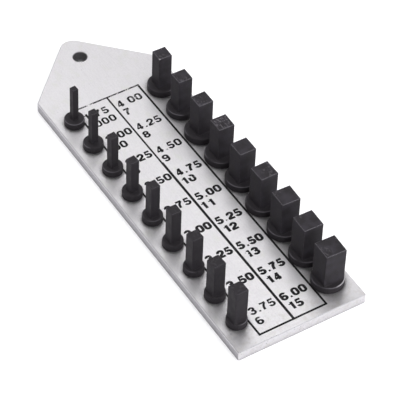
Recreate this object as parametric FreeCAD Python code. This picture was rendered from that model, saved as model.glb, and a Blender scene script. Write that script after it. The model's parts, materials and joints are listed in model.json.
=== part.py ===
"""Clock key gauge: a flat metal plate carrying eighteen square pegs of graded size.

Lengths are millimetres. X runs across the plate, Y from its square end to its pointed end,
Z up out of the face that carries the pegs. The origin is on the underside, at the middle of
the plate's width and length.
"""
import FreeCAD, Part

import math
import os
from dataclasses import dataclass

Vector = FreeCAD.Vector
UP = Vector(0, 0, 1)

# Plate: a sheet with a square end, two long sides, and two mitres that meet in a rounded tip.
PLATE_WIDTH = 38.8
SIDE_LENGTH = 103.3
PLATE_THICKNESS = 3.0
MITRE_ANGLE = 45.0
TIP_RADIUS = 3.7
CORNER_RADIUS = 0.4
EDGE_BREAK = 0.2

# Hole near the tip, for hanging the gauge on a nail or a ring.
HANGING_HOLE_DIAMETER = 4.0
HANGING_HOLE_FROM_TIP = 7.5

# Two rows of pegs, the smallest of each row nearest the tip.
PEGS_PER_ROW = 9
PEG_PITCH = 10.33
LAST_PEG_FROM_END = 8.91
LEFT_ROW_FROM_EDGE = 5.0
RIGHT_ROW_FROM_EDGE = 6.1
SMALLEST_PEG = 1.75
SIZE_STEP = 0.25

# Square part of a peg, as a key meets it. Height is above the plate.
PEG_HEIGHT = 13.2
PEG_CORNER_RADIUS = 0.12
PEG_TOP_BREAK = 0.2

# Each peg sits a few degrees out of square, as it was fitted. Degrees, from the tip down the row.
LEFT_ROW_TURNS = (3.5, 3.0, 4.5, 4.5, 2.5, 0.0, 2.0, 3.0, 1.0)
RIGHT_ROW_TURNS = (-1.5, -0.5, 0.5, -1.0, 0.0, 1.0, -2.0, -1.5, -2.0)

# Round collar at the foot of a peg: small down the left row, large down the right row, except
# for the first few pegs there, which have medium ones.
SMALL_COLLAR_DIAMETER = 5.65
MEDIUM_COLLAR_DIAMETER = 8.0
LARGE_COLLAR_DIAMETER = 9.0
MEDIUM_COLLARS = 2
COLLAR_HEIGHT = 2.0
COLLAR_RIM_RADIUS = 0.4

# Stem below the collar: a spigot through the plate, its end spread into a countersink.
SMALL_SPIGOT_DIAMETER = 3.0
LARGE_SPIGOT_DIAMETER = 4.6
SPIGOT_CLEARANCE = 0.02
HEAD_OVERHANG = 0.7
HEAD_RIM = 0.2
HEAD_RECESS = 0.1

# How close two places are to count as one when edges are picked.
SAME_PLACE = 0.001


@dataclass(frozen=True)
class PegPlan:
    """Sizes and place of one peg, all worked out from the driving dimensions."""

    size: float
    x: float
    y: float
    turn: float
    collar_radius: float
    spigot_radius: float

    @property
    def node(self):
        """Name of the node, such as peg_1_75 for the 1.75 mm peg."""
        return "peg_" + f"{self.size:.2f}".replace(".", "_")


def mitre_rise():
    """Height that the mitres would gain if they met in a sharp point."""
    return PLATE_WIDTH / 2 * math.tan(math.radians(MITRE_ANGLE))


def tip_centre_from_end():
    """Distance from the square end to the centre of the rounded tip."""
    return SIDE_LENGTH + mitre_rise() - TIP_RADIUS / math.cos(math.radians(MITRE_ANGLE))


PLATE_LENGTH = tip_centre_from_end() + TIP_RADIUS


def from_end(distance):
    """Y of a place that lies the given distance from the plate's square end."""
    return distance - PLATE_LENGTH / 2


def row_of_pegs(row_x, first_size, turns, collar_diameters, spigot_diameter):
    """Plans of one row, from the tip end down to the square end."""
    plans = []
    for place, collar_diameter in enumerate(collar_diameters):
        steps_from_last = len(collar_diameters) - 1 - place
        plans.append(PegPlan(
            size=first_size + SIZE_STEP * place,
            x=row_x,
            y=from_end(LAST_PEG_FROM_END + PEG_PITCH * steps_from_last),
            turn=turns[place % len(turns)],
            collar_radius=collar_diameter / 2,
            spigot_radius=spigot_diameter / 2,
        ))
    return plans


def left_row():
    """Plans of the row of small pegs."""
    row_x = LEFT_ROW_FROM_EDGE - PLATE_WIDTH / 2
    collars = [SMALL_COLLAR_DIAMETER] * PEGS_PER_ROW
    return row_of_pegs(row_x, SMALLEST_PEG, LEFT_ROW_TURNS, collars, SMALL_SPIGOT_DIAMETER)


def right_row():
    """Plans of the row of large pegs, whose sizes go on where the left row ends."""
    row_x = PLATE_WIDTH / 2 - RIGHT_ROW_FROM_EDGE
    first_size = SMALLEST_PEG + SIZE_STEP * PEGS_PER_ROW
    medium = [MEDIUM_COLLAR_DIAMETER] * MEDIUM_COLLARS
    large = [LARGE_COLLAR_DIAMETER] * (PEGS_PER_ROW - MEDIUM_COLLARS)
    return row_of_pegs(
        row_x, first_size, RIGHT_ROW_TURNS, medium + large, LARGE_SPIGOT_DIAMETER)


def turned_solid(outline):
    """Solid of revolution about Z from a closed outline of edges in the XZ plane."""
    face = Part.Face(Part.Wire(outline))
    return face.revolve(Vector(0, 0, 0), UP, 360)


def closed_polygon(points):
    """Straight edges through the points and back to the first."""
    ends = points[1:] + points[:1]
    return [Part.makeLine(start, end) for start, end in zip(points, ends)]


def plate_outline():
    """Closed wire of the plate's outline at the underside, with its tip as an arc."""
    angle = math.radians(MITRE_ANGLE)
    half = PLATE_WIDTH / 2
    shoulder_y = from_end(SIDE_LENGTH)
    end_y = from_end(0)
    centre_y = from_end(tip_centre_from_end())
    tangent_x = TIP_RADIUS * math.sin(angle)
    tangent_y = centre_y + TIP_RADIUS * math.cos(angle)
    right_tangent = Vector(tangent_x, tangent_y, 0)
    left_tangent = Vector(-tangent_x, tangent_y, 0)
    corners = [
        left_tangent,
        Vector(-half, shoulder_y, 0),
        Vector(-half, end_y, 0),
        Vector(half, end_y, 0),
        Vector(half, shoulder_y, 0),
        right_tangent,
    ]
    edges = [Part.makeLine(start, end) for start, end in zip(corners, corners[1:])]
    tip_top = Vector(0, centre_y + TIP_RADIUS, 0)
    edges.append(Part.Arc(right_tangent, tip_top, left_tangent).toShape())
    return Part.Wire(edges)


def upright_edges(solid):
    """Edges that run along Z."""
    return [
        edge for edge in solid.Edges
        if max(edge.BoundBox.XLength, edge.BoundBox.YLength) < SAME_PLACE
    ]


def edges_at_corners(solid):
    """Upright edges at the plate's shoulders and at the corners of its square end."""
    half = PLATE_WIDTH / 2
    return [
        edge for edge in upright_edges(solid)
        if abs(abs(edge.CenterOfMass.x) - half) < SAME_PLACE
    ]


def rim_edges(solid):
    """Edges that run round the top and the bottom face."""
    levels = (0.0, PLATE_THICKNESS)
    return [
        edge for edge in solid.Edges
        if any(max(abs(edge.BoundBox.ZMin - z), abs(edge.BoundBox.ZMax - z)) < SAME_PLACE
               for z in levels)
    ]


def hanging_hole():
    """Drill through the plate with a fine countersink at both faces."""
    radius = HANGING_HOLE_DIAMETER / 2
    mouth = radius + EDGE_BREAK
    top = PLATE_THICKNESS
    outline = closed_polygon([
        Vector(0, 0, 0),
        Vector(mouth, 0, 0),
        Vector(radius, 0, EDGE_BREAK),
        Vector(radius, 0, top - EDGE_BREAK),
        Vector(mouth, 0, top),
        Vector(0, 0, top),
    ])
    drill = turned_solid(outline)
    drill.translate(Vector(0, from_end(PLATE_LENGTH - HANGING_HOLE_FROM_TIP), 0))
    return drill


def peg_hole(plan):
    """Hole for one peg's spigot, countersunk from below for its spread end."""
    radius = plan.spigot_radius + SPIGOT_CLEARANCE
    mouth = radius + HEAD_OVERHANG
    shoulder = HEAD_RECESS + HEAD_RIM
    outline = closed_polygon([
        Vector(0, 0, 0),
        Vector(mouth, 0, 0),
        Vector(mouth, 0, shoulder),
        Vector(radius, 0, shoulder + HEAD_OVERHANG),
        Vector(radius, 0, PLATE_THICKNESS),
        Vector(0, 0, PLATE_THICKNESS),
    ])
    hole = turned_solid(outline)
    hole.translate(Vector(plan.x, plan.y, 0))
    return hole


def gauge_plate(plans):
    """The plate with its broken edges, its hanging hole and a hole for each peg."""
    plate = Part.Face(plate_outline()).extrude(UP * PLATE_THICKNESS)
    plate = plate.makeFillet(CORNER_RADIUS, edges_at_corners(plate))
    plate = plate.makeChamfer(EDGE_BREAK, rim_edges(plate))
    return plate.cut([hanging_hole()] + [peg_hole(plan) for plan in plans])


def peg_stem(plan):
    """Spread end, spigot and collar, turned in one about the peg's own axis."""
    spigot = plan.spigot_radius
    head = spigot + HEAD_OVERHANG
    collar = plan.collar_radius
    seat = PLATE_THICKNESS
    crown = seat + COLLAR_HEIGHT
    shoulder = HEAD_RECESS + HEAD_RIM
    rim_low = Vector(collar, 0, crown - COLLAR_RIM_RADIUS)
    rim_high = Vector(collar - COLLAR_RIM_RADIUS, 0, crown)
    rim_reach = COLLAR_RIM_RADIUS * math.cos(math.radians(45))
    rim_middle = Vector(
        collar - COLLAR_RIM_RADIUS + rim_reach, 0, crown - COLLAR_RIM_RADIUS + rim_reach)
    corners = [
        rim_high,
        Vector(0, 0, crown),
        Vector(0, 0, HEAD_RECESS),
        Vector(head, 0, HEAD_RECESS),
        Vector(head, 0, shoulder),
        Vector(spigot, 0, shoulder + HEAD_OVERHANG),
        Vector(spigot, 0, seat),
        Vector(collar, 0, seat),
        rim_low,
    ]
    outline = [Part.makeLine(start, end) for start, end in zip(corners, corners[1:])]
    outline.append(Part.Arc(rim_low, rim_middle, rim_high).toShape())
    return turned_solid(outline)


def peg_square(plan):
    """Square prism that the key slides over, with rounded corners and a broken top edge."""
    foot = PLATE_THICKNESS + COLLAR_HEIGHT / 2
    height = PLATE_THICKNESS + PEG_HEIGHT - foot
    corner = Vector(-plan.size / 2, -plan.size / 2, foot)
    prism = Part.makeBox(plan.size, plan.size, height, corner)
    prism = prism.makeFillet(PEG_CORNER_RADIUS, upright_edges(prism))
    top = foot + height
    top_edges = [edge for edge in prism.Edges if edge.BoundBox.ZMin > top - SAME_PLACE]
    return prism.makeChamfer(PEG_TOP_BREAK, top_edges)


def peg(plan):
    """One peg, moulded in one: spread end, spigot, collar and square."""
    solid = peg_stem(plan).fuse(peg_square(plan)).removeSplitter()
    solid.rotate(Vector(0, 0, 0), UP, plan.turn)
    solid.translate(Vector(plan.x, plan.y, 0))
    return solid


def main():
    """Write one STEP file for the plate and one for each peg."""
    os.makedirs("parts", exist_ok=True)
    plans = left_row() + right_row()
    gauge_plate(plans).exportStep("parts/gauge_plate.step")
    for plan in plans:
        peg(plan).exportStep(f"parts/{plan.node}.step")


main()
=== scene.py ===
"""Dresses the clock key gauge: a satin aluminium plate, black square pegs and the worn size print.

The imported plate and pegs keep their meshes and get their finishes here. The print on the
plate is modelled here, because ink is too thin for the solids. Sizes are in millimetres
in the classes and turn to metres where a mesh is made.
"""

import json
import logging
import math
from collections.abc import Iterable, Mapping, Sequence
from dataclasses import dataclass
from enum import Enum
from typing import Any, ClassVar

import bmesh
import bpy
from bpy.types import Material, Mesh, Node, NodeSocket, NodeTree, Object
from mathutils import Matrix, Vector

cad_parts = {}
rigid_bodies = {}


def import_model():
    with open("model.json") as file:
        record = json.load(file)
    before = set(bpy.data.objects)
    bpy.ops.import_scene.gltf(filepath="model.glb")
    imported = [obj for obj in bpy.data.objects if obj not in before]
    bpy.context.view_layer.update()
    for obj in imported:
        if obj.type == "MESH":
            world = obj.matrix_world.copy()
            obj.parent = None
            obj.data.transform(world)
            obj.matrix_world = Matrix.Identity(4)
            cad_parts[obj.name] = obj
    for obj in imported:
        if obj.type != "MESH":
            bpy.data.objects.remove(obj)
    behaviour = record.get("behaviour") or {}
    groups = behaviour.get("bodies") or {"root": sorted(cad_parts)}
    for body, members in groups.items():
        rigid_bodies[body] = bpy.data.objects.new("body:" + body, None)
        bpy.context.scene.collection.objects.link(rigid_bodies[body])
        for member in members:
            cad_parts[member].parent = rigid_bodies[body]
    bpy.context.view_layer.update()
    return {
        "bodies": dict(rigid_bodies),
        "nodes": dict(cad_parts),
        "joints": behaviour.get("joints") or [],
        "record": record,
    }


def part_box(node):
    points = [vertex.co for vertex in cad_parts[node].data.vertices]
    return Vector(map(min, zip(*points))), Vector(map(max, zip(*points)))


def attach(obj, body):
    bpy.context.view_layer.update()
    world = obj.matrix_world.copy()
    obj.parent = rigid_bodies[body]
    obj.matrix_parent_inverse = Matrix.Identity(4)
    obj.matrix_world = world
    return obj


LOG = logging.getLogger("clock_key_gauge")
MM = 0.001
BODY = "root"
# A Map Range node changes softly between its ends.
SOFT = {"interpolation_type": "SMOOTHSTEP"}
# What an input can be linked to. A node stands for its first output.
Source = Node | NodeSocket


class Slot(Enum):
    """The record's material slots."""

    PLATE = "plate"
    PEG = "peg"


class MixInput:
    """The sockets of a Mix node, whose names are the same for each kind of value."""

    FLOAT_A = 2
    FLOAT_B = 3
    COLOUR_A = 6
    COLOUR_B = 7
    COLOUR_RESULT = 2


def linear(hex_colour: str) -> tuple[float, float, float, float]:
    """Turns an sRGB hex colour to the linear values that the shaders read.

    Args:
        hex_colour: The colour as "#rrggbb".

    Returns:
        Red, green, blue and an alpha of 1.
    """
    parts = [int(hex_colour[i : i + 2], 16) / 255 for i in (1, 3, 5)]
    flat = [c / 12.92 if c <= 0.04045 else ((c + 0.055) / 1.055) ** 2.4 for c in parts]
    return (flat[0], flat[1], flat[2], 1.0)


def per_size(millimetres: float) -> float:
    """Gives the scale at which a texture's features are about this many millimetres wide."""
    return 1 / (millimetres * MM)


def even(size: float) -> tuple[float, float, float]:
    """Gives a size that is the same along x, y and z."""
    return (size, size, size)


def metres(span: tuple[float, float]) -> tuple[float, float]:
    """Turns a span in millimetres to metres."""
    return (span[0] * MM, span[1] * MM)


def add_node(
    tree: NodeTree,
    kind: str,
    inputs: Mapping[str | int, Any] | Sequence[Any] = (),
    **settings: Any,
) -> Node:
    """Adds one shader node with its settings and links.

    Args:
        tree: The node tree it goes in.
        kind: The node's type, without its ShaderNode prefix.
        inputs: What the first inputs get, or each one by its name or index. A socket or a
            node's first output is linked, and anything else is a value.
        **settings: The node's own properties.

    Returns:
        The node.
    """
    node = tree.nodes.new("ShaderNode" + kind)
    for name, value in settings.items():
        setattr(node, name, value)
    pairs = inputs.items() if isinstance(inputs, Mapping) else enumerate(inputs)
    for name, value in pairs:
        source = value.outputs[0] if isinstance(value, Node) else value
        if isinstance(source, NodeSocket):
            tree.links.new(source, node.inputs[name])
        else:
            node.inputs[name].default_value = source
    return node


def layered(
    tree: NodeTree, base: str, layers: Iterable[tuple[Source, str | Source]]
) -> Source:
    """Lays colours over a base, one after another.

    Args:
        tree: The node tree.
        base: The lowest colour, as "#rrggbb".
        layers: For each layer, from the lowest up, how much of it shows and its colour, as
            "#rrggbb" or from a node.

    Returns:
        The colour seen.
    """
    seen: Any = linear(base)
    for share, colour in layers:
        over = linear(colour) if isinstance(colour, str) else colour
        inputs = {"Factor": share, MixInput.COLOUR_A: seen, MixInput.COLOUR_B: over}
        seen = add_node(tree, "Mix", inputs, data_type="RGBA").outputs[MixInput.COLOUR_RESULT]
    return seen


def product(tree: NodeTree, first: Any, *others: Any) -> Source:
    """Multiplies shares, which leaves where all of them show.

    Args:
        tree: The node tree.
        first: The first share.
        *others: The others.

    Returns:
        The share of them all.
    """
    for other in others:
        first = add_node(tree, "Math", (first, other), operation="MULTIPLY")
    return first


def distance_from(tree: NodeTree, value: Any, middle: float) -> Source:
    """Finds how far a value is from a fixed one, on either side."""
    off = add_node(tree, "Math", (value, middle), operation="SUBTRACT")
    return add_node(tree, "Math", (off,), operation="ABSOLUTE")


def mirrored_ray(tree: NodeTree, path: Mapping[str, Source]) -> Source:
    """Finds from Light Path's outputs whether a mirror or glass is what looks."""
    rays = (path["Is Glossy Ray"], path["Is Transmission Ray"])
    return add_node(tree, "Math", rays, operation="MAXIMUM")


def nearness(
    tree: NodeTree,
    place: Source,
    middle: tuple[float, float, float],
    span: tuple[float, float],
    most: float = 1.0,
) -> Source:
    """Finds how near a spot a point is.

    Args:
        tree: The node tree.
        place: The Object coordinates.
        middle: The spot's middle, in millimetres.
        span: How far from it the spot ends, and how far it is whole, in millimetres.
        most: How much of the spot shows where it is whole.

    Returns:
        The share of the spot.
    """
    centre = tuple(part * MM for part in middle)
    off = add_node(tree, "VectorMath", {0: place, 1: centre}, operation="DISTANCE")
    return add_node(tree, "MapRange", (off.outputs["Value"], *metres(span), 0.0, most), **SOFT)


@dataclass(frozen=True)
class Pattern:
    """A noise with features of a real size, in millimetres along x, y and z.

    The seed shifts it, which tells two patterns of one size apart. Where the noise is past
    the span it shows in full, and before the span not at all.
    """

    size: tuple[float, float, float]
    detail: float = 2.0
    seed: tuple[float, float, float] = (0.0, 0.0, 0.0)
    span: tuple[float, float] = (0.0, 1.0)

    def noise(self, tree: NodeTree, place: Source) -> Source:
        """Makes the bare noise.

        Args:
            tree: The node tree.
            place: The Object coordinates.

        Returns:
            The noise, from 0 to 1.
        """
        scale = tuple(per_size(size) for size in self.size)
        spread = add_node(tree, "Mapping", {"Vector": place, "Scale": scale, "Location": self.seed})
        return add_node(tree, "TexNoise", {"Vector": spread, "Scale": 1.0, "Detail": self.detail})

    def share(self, tree: NodeTree, place: Source, most: float = 1.0) -> Source:
        """Finds where the pattern shows, and up to how much."""
        return add_node(tree, "MapRange", (self.noise(tree, place), *self.span, 0.0, most), **SOFT)


def new_material(name: str) -> tuple[Material, NodeTree]:
    """Starts a material that has no nodes yet.

    Args:
        name: The finish's name.

    Returns:
        The material and its node tree.
    """
    material = bpy.data.materials.new(name)
    material.use_nodes = True
    material.node_tree.nodes.clear()
    return material, material.node_tree


@dataclass(frozen=True)
class MetalLook:
    """What the aluminium's nodes give to a shader."""

    colour: Source
    roughness: Source
    normal: Source


@dataclass(frozen=True)
class SatinAluminium:
    """Rolled aluminium sheet, rubbed to a satin along its length.

    The eye gets a pale, slightly cool grey with a faint lengthwise grain and fainter clouds,
    smudges on the front end, painted shade round the collars and in the hanging hole, and
    small dark nicks along the front rim. The sheared long sides are darker than the top, partly
    as painted shade, and the edges' foot darker still as painted contact shade.
    """

    colour: str = "#f1eff2"
    cloud_colour: str = "#efedf0"
    cloud: Pattern = Pattern(even(9.0))
    cloud_part: float = 0.6
    mottle: Pattern = Pattern(even(0.9), 3.0)
    blotch_span: tuple[float, float] = (0.62, 1.02)
    # The real rubbing is about 0.05 mm wide. It is drawn at 0.3 mm so that the render shows it.
    streak_colour: str = "#cfcdd1"
    grain: Pattern = Pattern((0.3, 4.0, 0.3), 3.0, span=(0.42, 0.68))
    streak_share: float = 0.12
    grain_depth: float = 0.004
    stain_colour: str = "#ecebeb"
    stain: Pattern = Pattern((2.6, 4.16, 2.6), 4.0, (3.0, 1.0, 4.0), (0.52, 0.72))
    # The front end is the one that is held, so its smudges are the strongest.
    smudge_colour: str = "#dcd8d6"
    smudge: Pattern = Pattern(even(1.3), 3.0, (9.0, 4.0, 2.0), (0.46, 0.66))
    smudged_y: tuple[float, float] = (-52.5, -54.5)
    smudge_share: float = 0.36
    # The long sides are darker than the top, partly as the shears left them and partly as
    # painted shade, up to where the rims' scuffing reaches.
    sheared_side_and_shade_colour: str = "#bcbabe"
    side_lean: tuple[float, float] = (0.8, 0.95)
    side_top: tuple[float, float] = (2.55, 2.35)
    # Painted shade: the top is darkened in the corners round the collars, where little sky is open.
    collar_shade_colour: str = "#575458"
    collar_shade_reach: float = 3.2
    collar_shade_open: tuple[float, float] = (0.97, 0.5)
    collar_shade_share: float = 0.58
    collar_shade_samples: int = 8
    top_lean: tuple[float, float] = (0.9, 0.99)
    # The edges' foot is painted darker as contact shade, and less so off the long sides.
    foot_shade_colour: str = "#979598"
    foot_shade_z: tuple[float, float] = (1.5, 0.0)
    foot_shade_share: float = 0.6
    front_foot_shade: float = 0.35
    # The broken rims are scuffed rough. Their normal's z is near this.
    rim_colour: str = "#e0dee2"
    rim_roughness: float = 0.72
    rim_lean: float = 0.6
    rim_span: tuple[float, float] = (0.38, 0.2)
    nick_colour: str = "#8d8c92"
    nick: Pattern = Pattern(even(0.35), 1.0, (7.0, 3.0, 1.0))
    nick_span: tuple[float, float] = (0.78, 0.84)
    nicked_rim: float = 0.9
    rim_nicks: float = 0.1
    # The hanging hole's wall is painted darker, as shade inside the hole.
    bore_shade_colour: str = "#a09ea2"
    hole_y: float = 53.084
    # The wall lies 2 mm from the hole's axis. These say how far out the painted shade ends and begins.
    bore_shade_span: tuple[float, float] = (2.1, 2.02)
    # Rubbing left the sheet unevenly rough, like fine sand.
    sand: Pattern = Pattern((0.3, 0.6, 0.3), span=(0.34, 0.66))
    roughness: tuple[float, float] = (0.34, 0.66)

    def look(self, tree: NodeTree) -> MetalLook:
        """Builds the metal's colour, roughness and grain.

        Args:
            tree: The node tree that they go in.

        Returns:
            The three sockets.
        """
        place = add_node(tree, "TexCoord").outputs["Object"]
        across, along, height = add_node(tree, "SeparateXYZ", (place,)).outputs
        normal = add_node(tree, "NewGeometry").outputs["Normal"]
        lean = add_node(tree, "SeparateXYZ", (normal,)).outputs
        grain = self.grain.noise(tree, place)
        sand = self.sand.noise(tree, place)
        lines = (grain, *self.grain.span, 0.0, self.streak_share)
        off = distance_from(tree, lean["Z"], self.rim_lean)
        rim = add_node(tree, "MapRange", (off, *self.rim_span), **SOFT)
        side = self.side(tree, height, lean["X"])
        layers = (
            (self.blotches(tree, place), self.cloud_colour),
            (add_node(tree, "MapRange", lines, **SOFT), self.streak_colour),
            (self.stain.share(tree, place), self.stain_colour),
            (self.smudges(tree, place, along), self.smudge_colour),
            # Sheared long sides, partly painted shade.
            (side, self.sheared_side_and_shade_colour),
            # Painted shade in the corners round the collars.
            (self.collar_shade(tree, lean["Z"]), self.collar_shade_colour),
            # Painted contact shade along the edges' foot.
            (self.foot(tree, height, side), self.foot_shade_colour),
            (rim, self.rim_colour),
            (self.nicks(tree, place, along), self.nick_colour),
            # Painted shade on the hanging hole's wall.
            (self.bore_shade(tree, across, along), self.bore_shade_colour),
        )
        roughness = add_node(tree, "MapRange", (sand, *self.sand.span, *self.roughness), **SOFT)
        scuffed = {"Factor": rim, MixInput.FLOAT_A: roughness, MixInput.FLOAT_B: self.rim_roughness}
        bump = {
            "Height": add_node(tree, "Math", (grain, sand), operation="ADD"),
            "Strength": 1.0,
            "Distance": self.grain_depth * MM,
        }
        return MetalLook(
            layered(tree, self.colour, layers),
            add_node(tree, "Mix", scuffed),
            add_node(tree, "Bump", bump),
        )

    def blotches(self, tree: NodeTree, place: Source) -> Source:
        """Finds the clouds and the mottle.

        Args:
            tree: The node tree.
            place: The Object coordinates.

        Returns:
            The share of darker metal, from 0 to 1.
        """
        cloud = product(tree, self.cloud.noise(tree, place), self.cloud_part)
        both = add_node(tree, "Math", (cloud, self.mottle.noise(tree, place)), operation="ADD")
        return add_node(tree, "MapRange", (both, *self.blotch_span), **SOFT)

    def smudges(self, tree: NodeTree, place: Source, along: Source) -> Source:
        """Finds the smudges on the front end, which is known by the place's y."""
        held = (along, *metres(self.smudged_y), 0.0, self.smudge_share)
        return product(tree, add_node(tree, "MapRange", held, **SOFT), self.smudge.share(tree, place))

    def side(self, tree: NodeTree, height: Source, sideways: Source) -> Source:
        """Finds the sheared long sides, below the scuffed rims, painted darker partly as shade.

        Args:
            tree: The node tree.
            height: The place's z.
            sideways: The normal's x.

        Returns:
            The share of sheared side, from 0 to 1.
        """
        steep = add_node(tree, "Math", (sideways,), operation="ABSOLUTE")
        steep = add_node(tree, "MapRange", (steep, *self.side_lean), **SOFT)
        below = add_node(tree, "MapRange", (height, *metres(self.side_top)), **SOFT)
        return product(tree, steep, below)

    def collar_shade(self, tree: NodeTree, upward: Source) -> Source:
        """Finds the painted shade in the top's corners round the collars.

        Args:
            tree: The node tree.
            upward: The normal's z.

        Returns:
            The share of painted shade.
        """
        near = {"Distance": self.collar_shade_reach * MM}
        sky = add_node(tree, "AmbientOcclusion", near, samples=self.collar_shade_samples).outputs["AO"]
        shut_in = (sky, *self.collar_shade_open, 0.0, self.collar_shade_share)
        top = add_node(tree, "MapRange", (upward, *self.top_lean), **SOFT)
        return product(tree, add_node(tree, "MapRange", shut_in, **SOFT), top)

    def foot(self, tree: NodeTree, height: Source, side: Source) -> Source:
        """Finds the edges' foot, painted darker as contact shade, the most on the long sides.

        Args:
            tree: The node tree.
            height: The place's z.
            side: The share of sheared side.

        Returns:
            The share of painted foot shade.
        """
        low = (height, *metres(self.foot_shade_z), 0.0, self.foot_shade_share)
        dull = add_node(tree, "MapRange", (side, 0.0, 1.0, self.front_foot_shade, 1.0), **SOFT)
        return product(tree, add_node(tree, "MapRange", low, **SOFT), dull)

    def nicks(self, tree: NodeTree, place: Source, along: Source) -> Source:
        """Finds the small nicks, which are few on the faces and more along the front rim.

        Args:
            tree: The node tree.
            place: The Object coordinates.
            along: The place's y.

        Returns:
            The share of nick, from 0 to 1.
        """
        low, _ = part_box(GaugePlate.node)
        edge = (along, low.y + self.nicked_rim * MM, low.y, 0.0, self.rim_nicks)
        rim = add_node(tree, "MapRange", edge, **SOFT)
        dots = add_node(tree, "Math", (self.nick.noise(tree, place), rim), operation="ADD")
        return add_node(tree, "MapRange", (dots, *self.nick_span), **SOFT)

    def bore_shade(self, tree: NodeTree, across: Source, along: Source) -> Source:
        """Finds the hanging hole's wall, which is painted darker as the shade inside the hole."""
        flat = add_node(tree, "CombineXYZ", (across, along, 0.0))
        return nearness(tree, flat, (0.0, self.hole_y, 0.0), self.bore_shade_span)

    def material(self) -> Material:
        """Makes the plate's material.

        Returns:
            The material.
        """
        material, tree = new_material("satin_rolled_aluminium")
        look = self.look(tree)
        sockets = {
            "Base Color": look.colour,
            "Metallic": 1.0,
            "Roughness": look.roughness,
            "Normal": look.normal,
        }
        add_node(tree, "OutputMaterial", (add_node(tree, "BsdfPrincipled", sockets),))
        return material


@dataclass(frozen=True)
class WornSpot:
    """A place where the print has rubbed off: its middle and radius in mm, and how far."""

    x: float
    y: float
    radius: float
    strength: float


@dataclass(frozen=True)
class ScreenInk:
    """Black screen printing ink on metal, rubbed by years of keys and cloths.

    The eye gets a flat near-black with ragged bites at the edges, and bare metal where it
    has gone: the top line in dashes, some decimal points and parts of a few numbers.
    """

    metal: SatinAluminium
    colour: str = "#171518"
    thin_colour: str = "#2b292c"
    thin: Pattern = Pattern(even(2.2), span=(0.4, 0.7))
    roughness: float = 0.5
    specular_level: float = 0.15
    bite: Pattern = Pattern(even(0.28))
    bite_part: float = 0.5
    patch: Pattern = Pattern(even(2.2), 1.0, (2.0, 5.0, 0.0))
    patch_part: float = 0.35
    worn_span: tuple[float, float] = (0.56, 0.68)
    # The line at the tip end is the most rubbed one.
    rubbed_y: tuple[float, float] = (34.4, 34.9)
    rubbed_strength: float = 0.125
    # A spot is whole up to this share of its radius.
    spot_core: float = 0.4
    spots: tuple[WornSpot, ...] = (
        WornSpot(2.0, 30.1, 0.6, 1.0),
        WornSpot(-0.3, 30.7, 0.5, 0.08),
        WornSpot(5.3, 31.1, 2.6, 0.075),
        WornSpot(0.2, 27.7, 1.6, 0.08),
        WornSpot(1.95, 19.8, 0.5, 0.1),
        WornSpot(4.3, 19.7, 0.5, 0.3),
        WornSpot(2.1, 9.6, 0.5, 0.18),
        WornSpot(3.7, 1.7, 0.6, 0.1),
        WornSpot(1.8, -2.05, 0.6, 0.6),
        WornSpot(2.4, -20.6, 0.6, 0.15),
        WornSpot(0.58, -33.1, 0.45, 0.8),
        WornSpot(0.58, -33.9, 0.35, 0.7),
        WornSpot(-5.6, -49.4, 0.8, 0.1),
        WornSpot(-4.5, -49.4, 2.4, 0.07),
        WornSpot(-8.6, -53.2, 1.8, 0.12),
        WornSpot(8.5, -5.6, 0.4, 0.12),
    )

    def wear(self, tree: NodeTree, place: Source) -> Source:
        """Finds where the ink has gone.

        Args:
            tree: The node tree.
            place: The Object coordinates.

        Returns:
            The share of bare metal, from 0 to 1.
        """
        total = product(tree, self.bite.noise(tree, place), self.bite_part)
        patches = product(tree, self.patch.noise(tree, place), self.patch_part)
        total = add_node(tree, "Math", (total, patches), operation="ADD")
        along = add_node(tree, "SeparateXYZ", (place,)).outputs["Y"]
        rubbed = (along, *metres(self.rubbed_y), 0.0, self.rubbed_strength)
        band = add_node(tree, "MapRange", rubbed, **SOFT)
        total = add_node(tree, "Math", (total, band), operation="ADD")
        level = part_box(GaugePlate.node)[1].z / MM
        for spot in self.spots:
            span = (spot.radius, self.spot_core * spot.radius)
            gone = nearness(tree, place, (spot.x, spot.y, level), span, spot.strength)
            total = add_node(tree, "Math", (total, gone), operation="ADD")
        return add_node(tree, "MapRange", (total, *self.worn_span), **SOFT)

    def material(self) -> Material:
        """Makes the print's material.

        Returns:
            The material.
        """
        material, tree = new_material("worn_black_screen_ink")
        metal = self.metal.look(tree)
        place = add_node(tree, "TexCoord").outputs["Object"]
        worn = self.wear(tree, place)
        layers = ((self.thin.share(tree, place), self.thin_colour), (worn, metal.colour))
        dull = {"Factor": worn, MixInput.FLOAT_A: self.roughness, MixInput.FLOAT_B: metal.roughness}
        sockets = {
            "Base Color": layered(tree, self.colour, layers),
            "Metallic": worn,
            "Roughness": add_node(tree, "Mix", dull),
            "Specular IOR Level": self.specular_level,
            "Normal": metal.normal,
        }
        add_node(tree, "OutputMaterial", (add_node(tree, "BsdfPrincipled", sockets),))
        return material


@dataclass(frozen=True)
class ScratchOrGlintSpot:
    """A place where the pegs are scratched the most, or a painted glint: its middle and its reach in
    mm.
    """

    middle: tuple[float, float, float]
    reach: float

    def near(self, tree: NodeTree, place: Source, most: float = 1.0) -> Source:
        """Finds how near the spot a point is: it is whole up to half its reach."""
        return nearness(tree, place, self.middle, (self.reach, self.reach / 2), most)


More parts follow.
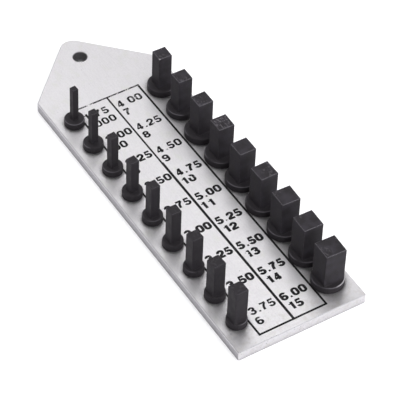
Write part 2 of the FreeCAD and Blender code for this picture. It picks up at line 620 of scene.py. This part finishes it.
@dataclass(frozen=True)
class MouldedPlastic:
    """Black nylon, injection moulded with a fine grain and drawn straight out of the mould.

    The eye gets a dull black, a little lighter along the edges, where arbors have rubbed it and
    as a painted highlight, with faint upright drag marks on the flanks, scratched tops, a dusty
    bloom in patches, collars painted lighter and painted glints on rims and a corner.
    """

    colour: str = "#2b282c"
    bloom_colour: str = "#38353b"
    bloom: Pattern = Pattern(even(2.4), 3.0, span=(0.35, 0.7))
    roughness: tuple[float, float] = (0.52, 0.66)
    # The bloom, rubbing and scratches fade towards the small row, which leaves that row darker.
    row_fade_x: tuple[float, float] = (-10.0, 9.0)
    small_row_share: float = 0.3
    # Edges are lighter where arbors have rubbed them, and as a painted highlight.
    worn_edge_and_sheen_colour: str = "#5e5b61"
    corner_span: tuple[float, float] = (0.25, 0.5)
    corner_share: float = 0.55
    # Arbors and keys have scratched the tops, and the 4.75 mm peg's the most.
    scratched_colour: str = "#6d6a6f"
    scratch: Pattern = Pattern((0.5, 0.9, 1.0), 4.0, (4.0, 2.0, 8.0), (0.5, 0.66))
    scratched_patch: Pattern = Pattern(even(6.0), 0.0, (6.0, 6.0, 3.0), (0.42, 0.62))
    scratched_share: float = 0.35
    most_scratched: ScratchOrGlintSpot = ScratchOrGlintSpot((13.3, 0.0, 16.2), 4.0)
    most_share: float = 0.6
    top_lean: tuple[float, float] = (0.85, 0.98)
    # Painted light: the collars are painted lighter than the flanks, which lifts their shade,
    # and their rims get painted highlights in arcs.
    collar_lift_colour: str = "#312e32"
    collar_top: tuple[float, float] = (5.9, 5.0)
    rim_colour: str = "#5c595f"
    rim_highlight_top: tuple[float, float] = (5.15, 5.05)
    rim_highlight_patch: Pattern = Pattern(even(5.0), 0.0, (1.0, 9.0, 2.0), (0.4, 0.62))
    # Two painted glints, highlights painted on edges: the last collar's rim, and a top corner of the 4
    # mm peg.
    glint_colour: str = "#a3a0a5"
    painted_glints: tuple[ScratchOrGlintSpot, ...] = (
        ScratchOrGlintSpot((15.8, -54.8, 4.8), 3.6),
        ScratchOrGlintSpot((11.3, 28.97, 16.2), 0.55),
    )
    specular_level: float = 0.18
    grain: Pattern = Pattern(even(0.16), span=(0.3, 0.6))
    grain_depth: float = 0.012
    drag: Pattern = Pattern((0.4, 0.4, 5.0))
    drag_share: float = 0.12
    # The mould's corners are softer than the solids': the normals round over this far.
    soft_edge: float = 0.4
    soft_samples: int = 6
    # The broken edges lean at 45 degrees, so their normal's z is near this. The spans say how
    # far from it an edge ends and how near it is whole.
    lean: float = math.sqrt(0.5)
    edge_wear_and_sheen_span: tuple[float, float] = (0.3, 0.0)
    rim_span: tuple[float, float] = (0.28, 0.12)
    glint_span: tuple[float, float] = (0.28, 0.18)

    def leaning(self, tree: NodeTree, upward: Source, span: tuple[float, float]) -> Source:
        """Finds the broken and rounded edges round the tops, from the normal's z."""
        return add_node(tree, "MapRange", (distance_from(tree, upward, self.lean), *span), **SOFT)

    def rubbed(self, tree: NodeTree, lean: Mapping[str, Source]) -> Source:
        """Finds the edges that arbors have rubbed, which also carry a painted highlight.

        Args:
            tree: The node tree.
            lean: The normal's parts.

        Returns:
            The share of rubbed edge, from 0 to 1.
        """
        top_edge = self.leaning(tree, lean["Z"], self.edge_wear_and_sheen_span)
        aslant = add_node(tree, "Math", (product(tree, lean["X"], lean["Y"]),), operation="ABSOLUTE")
        corner = (aslant, *self.corner_span, 0.0, self.corner_share)
        edges = (top_edge, add_node(tree, "MapRange", corner, **SOFT))
        return add_node(tree, "Math", edges, operation="MAXIMUM")

    def scratched(self, tree: NodeTree, place: Source, upward: Source, row_fade: Source) -> Source:
        """Finds the scratches on the tops.

        Args:
            tree: The node tree.
            place: The Object coordinates.
            upward: The normal's z.
            row_fade: How much of the bloom, rubbing and scratches shows, less towards the small row.

        Returns:
            The share of scratch.
        """
        patches = self.scratched_patch.share(tree, place, self.scratched_share)
        patches = product(tree, patches, row_fade)
        most = self.most_scratched.near(tree, place, self.most_share)
        some = add_node(tree, "Math", (patches, most), operation="MAXIMUM")
        top = add_node(tree, "MapRange", (upward, *self.top_lean), **SOFT)
        return product(tree, top, self.scratch.share(tree, place), some)

    def material(self) -> Material:
        """Makes the pegs' material.

        Returns:
            The material.
        """
        material, tree = new_material("moulded_black_nylon")
        place = add_node(tree, "TexCoord").outputs["Object"]
        across, _, height = add_node(tree, "SeparateXYZ", (place,)).outputs
        normal = add_node(tree, "NewGeometry").outputs["Normal"]
        lean = add_node(tree, "SeparateXYZ", (normal,)).outputs
        grain = self.grain.noise(tree, place)
        bloom = self.bloom.share(tree, place)
        ends = (across, *metres(self.row_fade_x), self.small_row_share, 1.0)
        row_fade = add_node(tree, "MapRange", ends, **SOFT)
        rough = add_node(tree, "MapRange", (grain, *self.grain.span), **SOFT)
        collar = add_node(tree, "MapRange", (height, *metres(self.collar_top)), **SOFT)
        low = add_node(tree, "MapRange", (height, *metres(self.rim_highlight_top)), **SOFT)
        rim = self.leaning(tree, lean["Z"], self.rim_span)
        # Painted glints on the rounded edges near the two spots.
        bright = self.leaning(tree, lean["Z"], self.glint_span)
        layers = [
            (product(tree, bloom, row_fade), self.bloom_colour),
            # Rubbed edges, partly a painted highlight.
            (product(tree, self.rubbed(tree, lean), rough, row_fade), self.worn_edge_and_sheen_colour),
            (self.scratched(tree, place, lean["Z"], row_fade), self.scratched_colour),
            # Painted light that lifts the collars' shade.
            (collar, self.collar_lift_colour),
            # Painted highlight arcs on the collars' rims.
            (product(tree, low, self.rim_highlight_patch.share(tree, place), rim), self.rim_colour),
        ]
        # Painted glints at the two spots.
        for spot in self.painted_glints:
            layers.append((product(tree, spot.near(tree, place), bright), self.glint_colour))
        rounded = {"Radius": self.soft_edge * MM}
        drag = self.drag.noise(tree, place)
        bump = {
            "Height": add_node(tree, "Math", (drag, self.drag_share, grain), operation="MULTIPLY_ADD"),
            "Strength": 1.0,
            "Distance": self.grain_depth * MM,
            "Normal": add_node(tree, "Bevel", rounded, samples=self.soft_samples),
        }
        sockets = {
            "Base Color": layered(tree, self.colour, layers),
            "Roughness": add_node(tree, "MapRange", (bloom, 0.0, 1.0, *self.roughness), **SOFT),
            "Specular IOR Level": self.specular_level,
            "Normal": add_node(tree, "Bump", bump),
        }
        add_node(tree, "OutputMaterial", (add_node(tree, "BsdfPrincipled", sockets),))
        return material


@dataclass(frozen=True)
class PaleFloor:
    """Seamless studio paper, pale and dull, which shows white around the object's shadow."""

    colour: str = "#ececee"
    fibre_colour: str = "#ffffff"
    fibre: Pattern = Pattern(even(1.5), span=(0.3, 0.7))
    fibre_share: float = 0.05
    roughness: float = 0.9
    lift: float = 0.3
    mirrored_lift: float = 0.02
    # Paper with less than half its sky open within this many millimetres is under the plate.
    shaded_colour: str = "#6b6b6d"
    cover: float = 5.0
    cover_open: tuple[float, float] = (0.44, 0.28)
    # The paper touches the plate, and lets light through there so that its back isn't black.
    contact: float = 0.3

    def material(self) -> Material:
        """Makes the floor's material, which isn't seen from below.

        Returns:
            The material.
        """
        material, tree = new_material("matt_studio_paper")
        place = add_node(tree, "TexCoord").outputs["Object"]
        path = add_node(tree, "LightPath").outputs
        mirrored = mirrored_ray(tree, path)
        open_sky = add_node(tree, "AmbientOcclusion", {"Distance": self.cover * MM}).outputs["AO"]
        shaded = add_node(tree, "MapRange", (open_sky, *self.cover_open), **SOFT)
        layers = (
            (self.fibre.share(tree, place, self.fibre_share), self.fibre_colour),
            (shaded, self.shaded_colour),
        )
        lit = add_node(tree, "Math", (1.0, shaded), operation="SUBTRACT")
        straight = product(tree, path["Is Camera Ray"], self.lift, lit)
        lift = (mirrored, self.mirrored_lift, straight)
        sockets = {
            "Base Color": layered(tree, self.colour, layers),
            "Roughness": self.roughness,
            "Specular IOR Level": 0.0,
            "Emission Color": (1.0, 1.0, 1.0, 1.0),
            "Emission Strength": add_node(tree, "Math", lift, operation="MULTIPLY_ADD"),
        }
        shader = add_node(tree, "BsdfPrincipled", sockets)
        below = add_node(tree, "NewGeometry").outputs["Backfacing"]
        reach = (path["Ray Length"], self.contact * MM)
        touching = add_node(tree, "Math", reach, operation="LESS_THAN")
        unseen = add_node(tree, "Math", (below, touching), operation="MAXIMUM")
        parts = (unseen, shader, add_node(tree, "BsdfTransparent"))
        add_node(tree, "OutputMaterial", (add_node(tree, "MixShader", parts),))
        return material


def new_object(name: str, mesh: Mesh) -> Object:
    """Puts a mesh in the scene.

    Args:
        name: The object's name.
        mesh: Its mesh.

    Returns:
        The object.
    """
    piece = bpy.data.objects.new(name, mesh)
    bpy.context.scene.collection.objects.link(piece)
    return piece


def joined(solids: list[Mesh]) -> Mesh:
    """Unites overlapping solids into one closed skin.

    Args:
        solids: The meshes, which aren't kept.

    Returns:
        The united mesh.
    """
    parts = [new_object(f"part_{i}", mesh) for i, mesh in enumerate(solids)]
    for other in parts[1:]:
        union = parts[0].modifiers.new("union", "BOOLEAN")
        union.operation = "UNION"
        union.solver = "EXACT"
        union.object = other
    shape = parts[0].evaluated_get(bpy.context.evaluated_depsgraph_get())
    result = bpy.data.meshes.new_from_object(shape)
    for part in parts:
        bpy.data.objects.remove(part)
    return result


@dataclass(frozen=True)
class Run:
    """A straight move of the nib."""

    length: float


@dataclass(frozen=True)
class Bend:
    """A move of the nib on an arc: to the left for a positive angle in degrees."""

    radius: float
    angle: float


@dataclass(frozen=True)
class Stroke:
    """One stroke: where its middle starts, its heading in degrees and its moves."""

    x: float
    y: float
    heading: float
    moves: tuple[Run | Bend, ...]
    width: float = 0.24

    # Corners closer than this share of the nib's width become one.
    SAME_PLACE: ClassVar[float] = 0.01
    DEGREES_PER_STEP: ClassVar[float] = 12.0
    FEWEST_STEPS: ClassVar[int] = 3

    def solid(self, depth: float, weight: float = 1.0) -> Mesh:
        """Sweeps the nib along the moves and gives the strip its depth.

        Args:
            depth: How deep the stroke is, downwards from z 0.
            weight: How many times its own width the nib is, where more ink was laid.

        Returns:
            A closed mesh.
        """
        form = bmesh.new()
        spot = Vector((self.x, self.y, 0))
        heading = math.radians(self.heading)
        across = Vector((-math.sin(heading), math.cos(heading), 0)) * self.width * weight / 2
        ends = [form.verts.new(spot - across), form.verts.new(spot + across)]
        nib = [*ends, form.edges.new(ends)]
        for move in self.moves:
            along = Vector((math.cos(heading), math.sin(heading), 0))
            if isinstance(move, Run):
                centre = spot
                angle = 0.0
                steps = 1
                shift = along * move.length
            else:
                side = math.copysign(move.radius, move.angle)
                centre = spot + Vector((-along.y, along.x, 0)) * side
                angle = math.radians(move.angle)
                steps = max(self.FEWEST_STEPS, round(abs(move.angle) / self.DEGREES_PER_STEP))
                shift = Vector()
            swept = bmesh.ops.spin(
                form, geom=nib, cent=centre, axis=(0, 0, 1), dvec=shift, angle=angle, steps=steps
            )
            spot = centre + Matrix.Rotation(angle, 3, "Z") @ (spot - centre) + shift
            heading += angle
            nib = swept["geom_last"]
        bmesh.ops.remove_doubles(form, verts=form.verts, dist=self.width * self.SAME_PLACE)
        sides = bmesh.ops.extrude_face_region(form, geom=form.faces[:])["geom"]
        lowered = [v for v in sides if isinstance(v, bmesh.types.BMVert)]
        bmesh.ops.translate(form, verts=lowered, vec=(0, 0, -depth))
        bmesh.ops.recalc_face_normals(form, faces=form.faces)
        mesh = bpy.data.meshes.new("stroke")
        form.to_mesh(mesh)
        form.free()
        return mesh


@dataclass
class Numerals:
    """Wide bold grotesque numerals, drawn with one nib.

    The strokes are in heights of a numeral and are then stretched sideways, which gives the
    uprights more weight than the bars, as in a printed wide face.
    """

    height: float = 2.45
    stretch: float = 1.2
    advance: float = 2.25
    point_advance: float = 1.25
    point_indent: float = 0.25
    depth: float = 0.035
    weight: float = 1.0

    STROKES: ClassVar[dict[str, tuple[Stroke, ...]]] = {
        "0": (Stroke(0.5325, 0.305, 90, (Run(0.39), Bend(0.2275, 180), Run(0.39), Bend(0.2275, 180))),),
        "1": (
            Stroke(0.425, 0.0, 90, (Run(1.0),)),
            Stroke(0.12, 0.755, 0, (Run(0.08), Bend(0.24, 75)), 0.12),
        ),
        "2": (
            Stroke(
                0.085,
                0.66,
                90,
                (Run(0.04), Bend(0.22, -180), Bend(0.3, -50), Run(0.37), Bend(0.16, 50), Run(0.1)),
            ),
            Stroke(0.0, 0.0775, 0, (Run(0.6),)),
        ),
        "3": (
            Stroke(0.1, 0.7225, 90, (Bend(0.2, -270),)),
            Stroke(0.225, 0.5225, 0, (Run(0.08), Bend(0.2225, -260))),
        ),
        "4": (
            Stroke(0.415, 0.0, 90, (Run(1.0),)),
            Stroke(0.0, 0.2575, 0, (Run(0.61),)),
            Stroke(0.055, 0.285, 64.5, (Run(0.75),), 0.135),
        ),
        "5": (
            Stroke(0.1, 0.9225, 0, (Run(0.46),)),
            Stroke(0.15, 0.99, -97, (Run(0.52),), 0.14),
            Stroke(0.1175, 0.4635, 50, (Bend(0.235, -305),)),
        ),
        "6": (
            Stroke(0.5325, 0.305, 90, (Bend(0.2275, 360),)),
            Stroke(0.0775, 0.305, 90, (Run(0.39), Bend(0.2275, -155))),
        ),
        "7": (
            Stroke(0.03, 0.9225, 0, (Run(0.565),)),
            Stroke(0.53, 0.89, -125, (Run(0.25), Bend(0.95, 30), Run(0.22))),
        ),
        "8": (
            Stroke(0.5325, 0.305, 90, (Bend(0.2275, 360),)),
            Stroke(0.5, 0.7275, 90, (Bend(0.195, 360),)),
        ),
        "9": (
            Stroke(0.0775, 0.695, -90, (Bend(0.2275, 360),)),
            Stroke(0.5325, 0.695, -90, (Run(0.39), Bend(0.2275, -155))),
        ),
        ".": (Stroke(-0.02, 0.095, 0, (Run(0.18),), 0.2),),
    }

    def meshes(self) -> dict[str, Mesh]:
        """Makes each numeral once.

        Returns:
            A mesh for each character, in metres, with its foot at the origin.
        """
        size = self.height * MM
        scale = Matrix.Diagonal((size * self.stretch, size, MM, 1))
        made = {}
        for character, strokes in self.STROKES.items():
            mesh = joined([stroke.solid(self.depth, self.weight) for stroke in strokes])
            mesh.transform(scale)
            made[character] = mesh
        return made

    def write(
        self, form: bmesh.types.BMesh, text: str, start: Vector, meshes: Mapping[str, Mesh]
    ) -> None:
        """Sets one line of numerals.

        Args:
            form: The mesh that gets the line.
            text: The line's characters.
            start: The left end of its foot, in millimetres.
            meshes: The numerals.
        """
        step = 0.0
        for character in text:
            indent = self.point_indent if character == "." else 0.0
            before = set(form.verts)
            form.from_mesh(meshes[character])
            added = [v for v in form.verts if v not in before]
            shift = (start + Vector((step + indent, 0, 0))) * MM
            bmesh.ops.translate(form, verts=added, vec=shift)
            step += self.point_advance if character == "." else self.advance


@dataclass(frozen=True)
class Column:
    """One column of the print: where it starts, its key numbers and how its rows differ.

    The original was set by hand, so starts wander by a few tenths of a millimetre, and more
    ink went on from the middle rows down.
    """

    start: float
    keys: tuple[str, ...]
    shifts: tuple[float, ...]
    key_shifts: tuple[float, ...]
    weights: tuple[float, ...]


@dataclass
class SizePrint:
    """The print on the plate: a ruled frame with two columns, each size over its key number.

    Places are in the plate's millimetres, before the whole print is turned a little, as it
    is on the real plate.
    """

    left_line: float = -11.8
    middle_line: float = -1.44
    right_line: float = 8.47
    bottom_line: float = -58.05
    top_line: float = 35.12
    line_width: float = 0.58
    top_width: float = 0.5
    # The middle line was ruled twice, from the foot up to here. Above, it is thinner and shifted.
    middle_width: float = 0.72
    middle_joint: float = 6.0
    middle_thin: float = 0.5
    middle_thin_shift: float = -0.08
    ink_height: float = 0.015
    turn: float = 0.31
    first_row: float = 29.95
    row_pitch: float = 10.21
    row_lifts: tuple[float, ...] = (0.0, 0.0, -0.15, 0.2, 0.15, 0.2, 0.1, 0.05, 0.0)
    key_drop: float = 3.6
    smallest: float = 1.75
    size_step: float = 0.25
    columns: tuple[Column, ...] = (
        Column(
            start=-10.05,
            keys=("000", "00", "0", "1", "2", "3", "4", "5", "6"),
            shifts=(-1.05, 0.2, 0.3, 0.4, 0.2, 0.15, 0.1, 0.05, 0.0),
            key_shifts=(0.5, 0.2, 0.1, 0.1, 0.0, 0.0, 0.0, 0.0, -0.1),
            weights=(0.86, 0.95, 1.0, 1.0, 1.0, 1.15, 1.17, 1.17, 0.9),
        ),
        Column(
            start=-0.46,
            keys=("7", "8", "9", "10", "11", "12", "13", "14", "15"),
            shifts=(0.0, 0.0, 0.1, 0.25, 0.05, 0.0, 0.0, 0.0, 0.0),
            key_shifts=(0.2, 0.1, 0.0, -0.2, -0.55, 0.1, 0.15, 0.1, 0.1),
            weights=(0.9, 0.9, 0.93, 1.06, 1.08, 1.14, 1.17, 1.17, 1.1),
        ),
    )

    def place(self) -> Matrix:
        """Finds how the print lies on the plate.

        Returns:
            The turn about the print's middle, and the lift onto the plate.
        """
        across = (self.left_line + self.right_line) / 2
        along = (self.bottom_line + self.top_line) / 2
        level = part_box(GaugePlate.node)[1].z + self.ink_height * MM
        middle = Matrix.Translation(Vector((across, along, 0)) * MM)
        turned = Matrix.Rotation(math.radians(self.turn), 4, "Z")
        return Matrix.Translation((0, 0, level)) @ middle @ turned @ middle.inverted()

    def frame(self, depth: float) -> Object:
        """Rules the frame and the line between its columns.

        Args:
            depth: How deep the ink's solid is, in millimetres.

        Returns:
            The frame's object.
        """
        over = self.line_width / 2
        tall = self.top_line - self.bottom_line + 2 * over
        wide = self.right_line - self.left_line + 2 * over
        foot, side = self.bottom_line - over, self.left_line - over
        thick = self.middle_joint - foot
        thin_x = self.middle_line + self.middle_thin_shift
        rules = [
            Stroke(self.left_line, foot, 90, (Run(tall),), self.line_width),
            Stroke(self.right_line, foot, 90, (Run(tall),), self.line_width),
            Stroke(self.middle_line, foot, 90, (Run(thick),), self.middle_width),
            Stroke(thin_x, self.middle_joint - over, 90, (Run(tall - thick),), self.middle_thin),
            Stroke(side, self.bottom_line, 0, (Run(wide),), self.line_width),
            Stroke(side, self.top_line, 0, (Run(wide),), self.top_width),
        ]
        mesh = joined([stroke.solid(depth) for stroke in rules])
        mesh.transform(Matrix.Diagonal((MM, MM, MM, 1)))
        mesh.transform(self.place())
        return new_object("print_frame", mesh)

    def lines(self) -> Iterable[tuple[str, Vector, float]]:
        """Lists every line of numerals.

        Yields:
            Its characters, its place in millimetres and its weight.
        """
        for row, lift in enumerate(self.row_lifts):
            foot = self.first_row - row * self.row_pitch + lift
            for order, column in enumerate(self.columns):
                size = self.smallest + self.size_step * (row + order * len(self.row_lifts))
                size_start = Vector((column.start + column.shifts[row], foot, 0))
                key_start = Vector((column.start + column.key_shifts[row], foot - self.key_drop, 0))
                yield f"{size:.2f}", size_start, column.weights[row]
                yield column.keys[row], key_start, column.weights[row]

    def build(self, ink: ScreenInk) -> list[Object]:
        """Makes the print's pieces and inks them.

        Args:
            ink: The print's finish.

        Returns:
            The frame and the numerals.
        """
        numerals = Numerals()
        weights = sorted({weight for column in self.columns for weight in column.weights})
        meshes = {weight: Numerals(weight=weight).meshes() for weight in weights}
        form = bmesh.new()
        for text, start, weight in self.lines():
            numerals.write(form, text, start, meshes[weight])
        mesh = bpy.data.meshes.new("print_numerals")
        form.to_mesh(mesh)
        form.free()
        mesh.transform(self.place())
        pieces = [self.frame(numerals.depth), new_object("print_numerals", mesh)]
        material = ink.material()
        for piece in pieces:
            piece.data.materials.clear()
            piece.data.materials.append(material)
            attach(piece, BODY)
            LOG.info("%s: %d faces", piece.name, len(piece.data.polygons))
        return pieces


@dataclass
class GaugePlate:
    """The pointed aluminium plate, as packed."""

    node: ClassVar[str] = "gauge_plate"

    def dress(self, frame: Mapping[str, Any], metal: SatinAluminium) -> None:
        """Gives the plate its finish.

        Args:
            frame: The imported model.
            metal: The plate's finish.
        """
        plate = frame["nodes"][self.node]
        plate.material_slots[0].material = metal.material()
        LOG.info("%s: %d faces", plate.name, len(plate.data.polygons))


@dataclass
class PegRows:
    """The eighteen square pegs, as packed."""

    prefix: ClassVar[str] = "peg_"

    def dress(self, frame: Mapping[str, Any], plastic: MouldedPlastic) -> None:
        """Gives the pegs their finish.

        Args:
            frame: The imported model.
            plastic: The pegs' finish.
        """
        material = plastic.material()
        for name, peg in sorted(frame["nodes"].items()):
            if name.startswith(self.prefix):
                peg.material_slots[0].material = material
                LOG.info("%s: %d faces", name, len(peg.data.polygons))


@dataclass(frozen=True)
class Softbox:
    """A wide lamp aimed at the object. Its level is how bright it makes white paper."""

    name: str
    towards: tuple[float, float, float]
    distance: float
    size: tuple[float, float]
    level: float

    def build(self) -> None:
        """Hangs the lamp."""
        lamp = bpy.data.lights.new(self.name, "AREA")
        lamp.shape = "RECTANGLE"
        lamp.size, lamp.size_y = self.size
        lamp.energy = self.level * (math.pi * self.distance) ** 2
        back = Vector(self.towards).normalized()
        holder = bpy.data.objects.new(self.name, lamp)
        bpy.context.scene.collection.objects.link(holder)
        holder.location = back * self.distance
        holder.rotation_mode = "QUATERNION"
        holder.rotation_quaternion = back.to_track_quat("Z", "Y")


@dataclass
class Studio:
    """The pale floor, the soft lights and the camera, which stands where the photograph's did."""

    floor_width: float = 3.0
    floor_drop: float = 0.05
    lens: float = 214.89
    sensor: float = 36.0
    clip: tuple[float, float] = (0.01, 10.0)
    camera_place: tuple[float, float, float] = (-240.01, -373.677, 462.449)
    camera_right: tuple[float, float, float] = (0.849928, -0.526124, 0.028556)
    camera_up: tuple[float, float, float] = (0.365660, 0.627992, 0.686964)
    camera_back: tuple[float, float, float] = (-0.379361, -0.573428, 0.726130)
    # The air is this bright, and this is what mirrors see of it, from the horizon up and down.
    ambient: float = 0.5
    backdrop: float = 0.1
    ceiling: float = 0.0
    backdrop_top: tuple[float, float] = (0.1, 0.4)
    underneath: float = 0.8
    horizon: tuple[float, float] = (0.0, -0.05)
    softboxes: tuple[Softbox, ...] = (
        Softbox("overhead_back_softbox", (0.1, 0.4, 0.9), 0.8, (0.6, 0.4), 0.3),
        Softbox("overhead_front_softbox", (0.1, -0.4, 0.9), 0.8, (0.6, 0.4), 0.31),
        Softbox("back_softbox", (0.0, 0.8, 0.6), 0.8, (0.9, 0.35), 0.13),
        Softbox("left_back_softbox", (-0.8, 0.7, 0.45), 0.8, (0.8, 0.35), 0.11),
        Softbox("front_softbox", (0.1, -1.0, 0.22), 0.8, (0.8, 0.3), 0.27),
        Softbox("front_right_softbox", (0.8, -0.8, 0.25), 0.8, (0.6, 0.35), 0.2),
        Softbox("right_softbox", (1.0, 0.0, 0.25), 0.8, (0.6, 0.35), 0.2),
    )

    def floor(self) -> None:
        """Lays the floor just under the plate."""
        form = bmesh.new()
        bmesh.ops.create_grid(form, x_segments=1, y_segments=1, size=self.floor_width / 2)
        bmesh.ops.translate(form, verts=form.verts, vec=(0, 0, -self.floor_drop * MM))
        mesh = bpy.data.meshes.new("studio_floor")
        form.to_mesh(mesh)
        form.free()
        mesh.materials.append(PaleFloor().material())
        new_object("studio_floor", mesh)

    def world(self) -> None:
        """Sets the soft light all round, which shows white behind the object."""
        world = bpy.data.worlds.new("studio")
        world.use_nodes = True
        tree = world.node_tree
        tree.nodes.clear()
        path = add_node(tree, "LightPath").outputs
        mirrored = mirrored_ray(tree, path)
        around = add_node(tree, "TexCoord").outputs["Generated"]
        upward = add_node(tree, "SeparateXYZ", (around,)).outputs["Z"]
        above = (upward, *self.backdrop_top, self.backdrop, self.ceiling)
        shown = add_node(tree, "MapRange", above, **SOFT)
        below = add_node(tree, "MapRange", (upward, *self.horizon), **SOFT)
        both = {"Factor": below, MixInput.FLOAT_A: shown, MixInput.FLOAT_B: self.underneath}
        shown = add_node(tree, "Mix", both)
        both = {"Factor": mirrored, MixInput.FLOAT_A: self.ambient, MixInput.FLOAT_B: shown}
        lit = add_node(tree, "Mix", both)
        both = {"Factor": path["Is Camera Ray"], MixInput.FLOAT_A: lit, MixInput.FLOAT_B: 1.0}
        light = {"Color": (1.0, 1.0, 1.0, 1.0), "Strength": add_node(tree, "Mix", both)}
        background = add_node(tree, "Background", light)
        add_node(tree, "OutputWorld", (background,))
        bpy.context.scene.world = world

    def camera(self) -> None:
        """Sets up the camera at the photograph's angle."""
        lens = bpy.data.cameras.new("photo_camera")
        lens.lens = self.lens
        lens.sensor_width = self.sensor
        lens.clip_start, lens.clip_end = self.clip
        holder = bpy.data.objects.new("photo_camera", lens)
        bpy.context.scene.collection.objects.link(holder)
        turned = Matrix((self.camera_right, self.camera_up, self.camera_back)).transposed()
        place = Matrix.Translation(Vector(self.camera_place) * MM)
        holder.matrix_world = place @ turned.to_4x4()
        bpy.context.scene.camera = holder

    def build(self) -> None:
        """Sets up the whole studio."""
        self.floor()
        self.world()
        for softbox in self.softboxes:
            softbox.build()
        self.camera()
        bpy.context.scene.view_settings.view_transform = "Standard"


def main() -> None:
    """Clears the scene, loads the frame and builds each sub-assembly around it."""
    logging.basicConfig(level=logging.INFO, format="%(name)s %(message)s")
    for item in list(bpy.data.objects):
        bpy.data.objects.remove(item)
    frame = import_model()
    metal = SatinAluminium()
    GaugePlate().dress(frame, metal)
    PegRows().dress(frame, MouldedPlastic())
    SizePrint().build(ScreenInk(metal))
    Studio().build()
    LOG.info("all pieces are in place")


if __name__ == "__main__":
    main()
